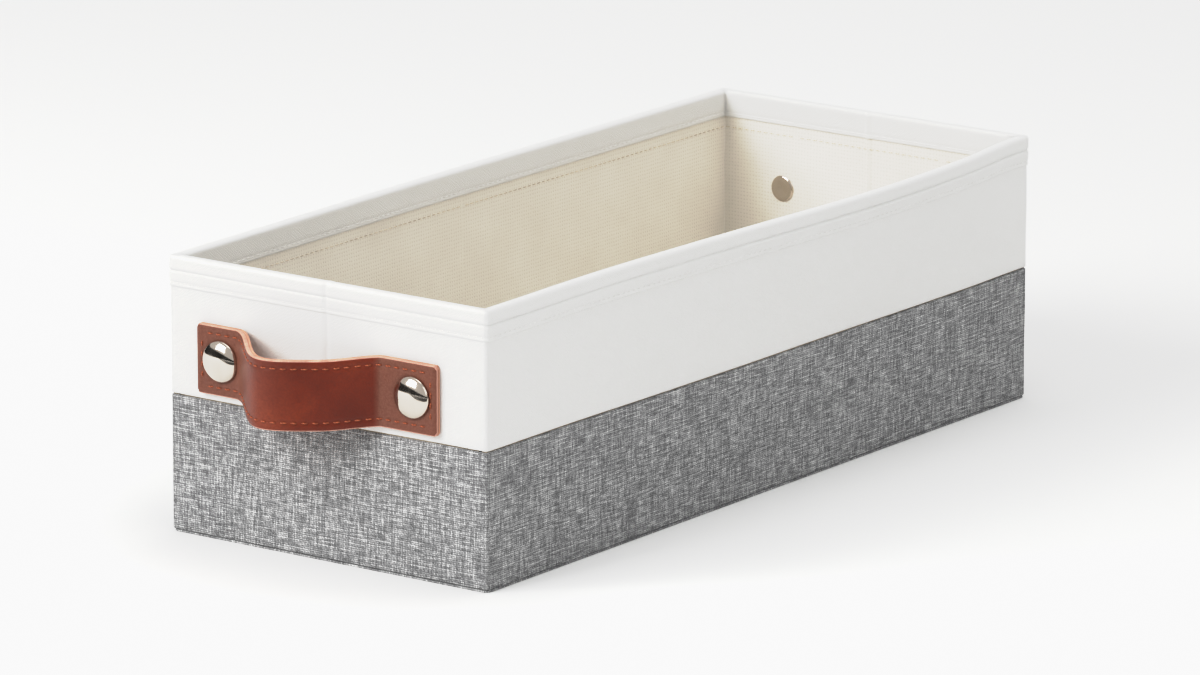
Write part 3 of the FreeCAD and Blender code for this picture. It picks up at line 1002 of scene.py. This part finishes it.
def resampled(line, step):
    """The line's points again, evenly spaced, with their direction and running length."""
    run = lengths(line)
    places, index = [], 0
    for distance in spread(0, run[-1], step):
        while index < len(run) - 2 and run[index + 1] < distance:
            index += 1
        share = (distance - run[index]) / (run[index + 1] - run[index])
        places.append((line[index].lerp(line[index + 1], share), distance))
    result = []
    for number, (place, distance) in enumerate(places):
        before = places[max(number - 1, 0)][0]
        after = places[min(number + 1, len(places) - 1)][0]
        result.append((place, (after - before).normalized(), distance))
    return result


STRAP = resampled(strap_line(), 0.8 * MM)
STRAP_LENGTH = STRAP[-1][2]
STRAP_SEAT = HALF_LENGTH - CLOTH_OUT + SEAT_GAP
LEATHER = leather(LIFT_OFF - strap_low.x, STRAP_LENGTH - (strap_high.x - LANDING))


def strap_point(place, direction, offset, z):
    """A point of the front strap at an offset outwards from its inner face. The bow sags a little."""
    sag = STRAP_SAG * smooth((place.x + 38 * MM) / (24 * MM)) * smooth((26 * MM - place.x) / (20 * MM))
    outward = Vector((-direction.y, direction.x))
    spot = place + outward * offset
    return Vector((spot.x, -(STRAP_SEAT + spot.y), STRAP_MIDDLE + z - sag))


def strap_dip(place, distance, z):
    """How far the leather's face is pressed in: along the stitches and round the rivets."""
    inset = min(STRAP_HALF - abs(z), distance, STRAP_LENGTH - distance)
    dip = 0.28 * MM * bump(inset, STITCH_INSET, 0.55 * MM) + 0.12 * MM * bump(inset, 0, 1.2 * MM)
    for x in RIVET_PLACES:
        reach = math.hypot(place.x - x, z)
        dip += 0.25 * MM * smooth((CAP_RADIUS + 1.6 * MM - reach) / (1.8 * MM))
    return dip


def strap_layer(name, inner, outer, face_material, edge_material, dipped):
    """One layer of the front strap between two offsets, with rounded corners at its tips."""
    edge = min(0.35 * MM, (outer - inner) / 3)
    tip_radius = 1.2 * MM
    rows = spread(-STRAP_HALF + edge, STRAP_HALF - edge, 0.55 * MM)
    rings, run = [], []
    for place, direction, distance in STRAP:
        tip = min(distance, STRAP_LENGTH - distance)
        cut = tip_radius - math.sqrt(max(0.0, tip_radius**2 - max(0.0, tip_radius - tip) ** 2))
        narrow = (STRAP_HALF - cut) / STRAP_HALF
        blunt = edge * (1 - smooth(tip / edge)) if tip < edge else 0.0
        ring = [strap_point(place, direction, outer - edge - blunt, -STRAP_HALF * narrow)]
        for z in rows:
            dip = strap_dip(place, distance, z) if dipped else 0.0
            ring.append(strap_point(place, direction, outer - dip - blunt, z * narrow))
        ring.append(strap_point(place, direction, outer - edge - blunt, STRAP_HALF * narrow))
        for z in (STRAP_HALF, STRAP_HALF / 3, -STRAP_HALF / 3, -STRAP_HALF):
            ring.append(strap_point(place, direction, inner, z * narrow))
        rings.append(ring)
        run.append(distance)
    strips = [1] + [0] * (len(rows) - 1) + [1] * 6
    across = [z + STRAP_HALF for z in [-STRAP_HALF] + rows + [STRAP_HALF]]
    across += [across[-1] + step for step in (1 * MM, 9 * MM, 18 * MM, 26 * MM, 27 * MM)]
    return skin(name, rings, run, across, [face_material, edge_material], strips, 35)


def strap_stitch_lines():
    """The four sides of the strap's stitching, as (points, ways out)."""
    offset = STRAP_THICK - 0.2 * MM
    side = STRAP_HALF - STITCH_INSET

    def spot(index, z):
        place, direction, _ = STRAP[index]
        out = Vector((-direction.y, -direction.x, 0))
        return strap_point(place, direction, offset, z), out

    def between_tips(inset):
        return [i for i, (_, _, d) in enumerate(STRAP) if inset <= d <= STRAP_LENGTH - inset]

    long_sides = between_tips(STITCH_INSET)
    tip_low, *_, tip_high = between_tips(TIP_STITCH_INSET)
    sides = {
        "lower": [spot(i, -side) for i in long_sides],
        "upper": [spot(i, side) for i in long_sides],
        "left_tip": [spot(tip_low, z) for z in spread(-side, side, 1 * MM)],
        "right_tip": [spot(tip_high, z) for z in spread(-side, side, 1 * MM)],
    }
    return {name: ([p for p, _ in line], [o for _, o in line]) for name, line in sides.items()}


def turned_half(obj):
    """The front handle's piece turned half round about Z, as the back handle's."""
    obj.data.transform(Matrix.Rotation(math.pi, 4, "Z"))
    obj.data.update()


def handle(end):
    leather_piece = strap_layer(f"{end}_strap_leather", BACKING, STRAP_THICK, LEATHER, LEATHER_EDGE, True)
    backing_piece = strap_layer(f"{end}_strap_backing", 0, BACKING, LEATHER_BACKING, LEATHER_BACKING, False)
    rows = [
        stitches(f"{end}_strap_stitches_{name}", line, outs, BROWN_THREAD, 3.7 * MM, 2.3 * MM, 0.33 * MM)
        for name, (line, outs) in strap_stitch_lines().items()
    ]
    for piece in (leather_piece, backing_piece, *rows):
        if end == "back":
            turned_half(piece)
        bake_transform(piece)
    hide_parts(f"{end}_handle_leather")
    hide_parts(f"{end}_handle_backing")


for end in ENDS:
    handle(end)

# -------------------- rivets


def lathe(name, profile, centre, sign, material, segments=56):
    """A solid turned about the Y direction through a centre. profile is (radius, distance outwards), from
    the axis on one side to the axis on the other. sign is the way that outwards points along Y."""
    points = []
    inner = profile[1:-1]
    for radius, reach in inner:
        for step in range(segments):
            turn = 2 * math.pi * step / segments
            points.append(Vector((radius * math.cos(turn), sign * reach, radius * math.sin(turn))) + centre)
    first, last = len(points), len(points) + 1
    points += [centre + Vector((0, sign * reach, 0)) for reach in (profile[0][1], profile[-1][1])]
    faces = bands(len(inner), segments)
    top = (len(inner) - 1) * segments
    for step in range(segments):
        after = (step + 1) % segments
        faces.append((first, after, step))
        faces.append((last, top + step, top + after))
    if sign < 0:
        faces = [tuple(reversed(face)) for face in faces]
    return new_object(name, points, faces, [material], sharp=40)


def cap_profile():
    """A domed cap with a rounded brim, and the tube behind it."""
    rise, tube = 2.9 * MM, 2.1 * MM
    inside, under, brim = -LINING_IN + CLOTH_OUT, CAP_BASE - 0.2 * MM, CAP_BASE + 0.15 * MM
    profile = [(0, inside), (tube, inside), (tube, under)]
    profile += [(CAP_RADIUS - 0.5 * MM, under), (CAP_RADIUS - 0.12 * MM, CAP_BASE - 0.05 * MM)]
    for turn in spread(0, 84, 7):
        angle = math.radians(turn)
        profile.append((CAP_RADIUS * math.cos(angle), brim + rise * math.sin(angle) ** 1.15))
    return profile + [(0, brim + rise)]


def stud_profile():
    """A flat foot with a rounded edge and a pressed middle, inside the bin."""
    seat = -LINING_IN + CLOTH_OUT - 0.05 * MM
    foot, stem = seat - 1 * MM, 1.4 * MM
    profile = [(0, foot + 0.25 * MM), (stem, foot + 0.25 * MM), (1.9 * MM, foot), (4.2 * MM, foot)]
    profile += [(4.75 * MM, foot + 0.15 * MM), (5 * MM, foot + 0.5 * MM), (4.9 * MM, seat), (stem, seat)]
    return profile + [(stem, 0), (0, 0)]


def rivet(end, side):
    low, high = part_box(f"{end}_{side}_rivet_cap")
    centre = Vector(((low.x + high.x) / 2, ENDS[end] * (HALF_LENGTH - CLOTH_OUT), STRAP_MIDDLE))
    for kind, profile in (("cap", cap_profile()), ("stud", stud_profile())):
        piece = lathe(f"{end}_{side}_polished_{kind}", profile, centre, ENDS[end], NICKEL)
        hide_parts(f"{end}_{side}_rivet_{kind}")
        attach(piece, f"{end}_{side}")


for end in ENDS:
    for side in WALLS:
        rivet(end, side)

# -------------------- stage, lights and camera

FLOOR_HALF = 6.0
MIDDLE = Vector((0, 0, 0.05))  # of the bin


def stage_floor():
    corners = [(x * FLOOR_HALF, y * FLOOR_HALF, 0) for x, y in ((-1, -1), (1, -1), (1, 1), (-1, 1))]
    floor = new_object("stage_floor", corners, [(0, 1, 2, 3)], [pale_floor()])


def area_light(name, place, size, power):
    """A square white light that faces the bin."""
    light = bpy.data.lights.new(name, "AREA")
    light.size = size
    light.energy = power
    lamp = bpy.data.objects.new(name, light)
    lamp.location = place
    lamp.rotation_euler = (MIDDLE - Vector(place)).to_track_quat("-Z", "Y").to_euler()
    bpy.context.scene.collection.objects.link(lamp)


def studio():
    world = bpy.data.worlds.new("studio")
    world.use_nodes = True
    background = world.node_tree.nodes["Background"]
    background.inputs["Color"].default_value = rgb(1.0, 1.0, 1.0)
    background.inputs["Strength"].default_value = 0.60
    bpy.context.scene.world = world
    area_light("key", (-0.9, -2.0, 1.5), 1.4, 51)
    area_light("fill", (1.9, -0.5, 1.2), 1.6, 6)
    area_light("top", (0.2, 0.3, 2.2), 1.8, 16)


def dark_screen(name, points, faces, turned):
    """A black studio screen that only shows in reflections, for the dark band across the polished rivets.
    turned makes it the one for the back handle, half way round the bin."""
    material, _, shader = new_material("black_screen")
    shader.inputs["Base Color"].default_value = rgb(0.01, 0.01, 0.01)
    piece = new_object(name, points, faces, [material])
    if turned:
        turned_half(piece)
    piece.visible_camera = piece.visible_diffuse = piece.visible_shadow = False


def dark_screens(end):
    """A low curved screen in front of a handle, higher to the left, and a dark sheet on the table."""
    turned = end == "back"
    radius = 2.0
    tops = ((-105, 0.75), (-60, 0.60), (-23, 0.46), (4, 0.30), (35, 0.20), (75, 0.16))  # (degrees, height)
    points = []
    for azimuth, top in tops:
        turn = math.radians(azimuth)
        for z in (0.003, top):
            points.append(Vector((radius * math.sin(turn), -radius * math.cos(turn), z)))
    faces = [(2 * i, 2 * i + 2, 2 * i + 3, 2 * i + 1) for i in range(len(tops) - 1)]
    dark_screen(f"stage_{end}_screen", points, faces, turned)
    sheet = [(-0.02, -0.50, 0.003), (0.26, -0.26, 0.003), (1.7, -0.5, 0.003), (-0.9, -1.85, 0.003)]
    dark_screen(f"stage_{end}_dark_sheet", sheet, [(0, 3, 2, 1)], turned)


# The picture's tone curve, as (scene brightness, shown brightness): a little more contrast in the middle
# tones, and gentle highlights, so that the whites keep their shading.
TONES = ((0.10, 0.087), (0.228, 0.225), (0.34, 0.37), (0.58, 0.71), (0.90, 0.87), (1.06, 0.985))
BRIGHTEST = 1.3


def product_tones():
    """Shows the colours with no film look but the tone curve."""
    view = bpy.context.scene.view_settings
    view.view_transform = "Standard"
    view.use_curve_mapping = True
    tones = view.curve_mapping
    tones.clip_max_x = BRIGHTEST
    tones.extend = "HORIZONTAL"
    curve = tones.curves[3]
    curve.points[1].location = (BRIGHTEST, 1.0)
    for scene_tone, shown_tone in TONES:
        curve.points.new(scene_tone, shown_tone)
    tones.update()


CAMERA_AZIMUTH = math.radians(36.15)
CAMERA_ELEVATION = math.radians(14.1)
CAMERA_DISTANCE = 3.18
CAMERA_LENS = 264.0
CAMERA_AIM = Vector((-0.002, -0.004, 0.047))


def camera():
    """At the photograph's viewing angle and distance, with a longer lens: the bin fills the view."""
    data = bpy.data.cameras.new("camera")
    data.lens = CAMERA_LENS
    data.sensor_width = 36
    data.clip_end = 60
    level = math.cos(CAMERA_ELEVATION)
    x, y = math.sin(CAMERA_AZIMUTH) * level, -math.cos(CAMERA_AZIMUTH) * level
    back = Vector((x, y, math.sin(CAMERA_ELEVATION)))
    obj = bpy.data.objects.new("camera", data)
    obj.location = MIDDLE + back * CAMERA_DISTANCE
    obj.rotation_euler = (CAMERA_AIM - obj.location).to_track_quat("-Z", "Y").to_euler()
    bpy.context.scene.collection.objects.link(obj)
    bpy.context.scene.camera = obj


stage_floor()
studio()
for end in ENDS:
    dark_screens(end)
product_tones()
camera()
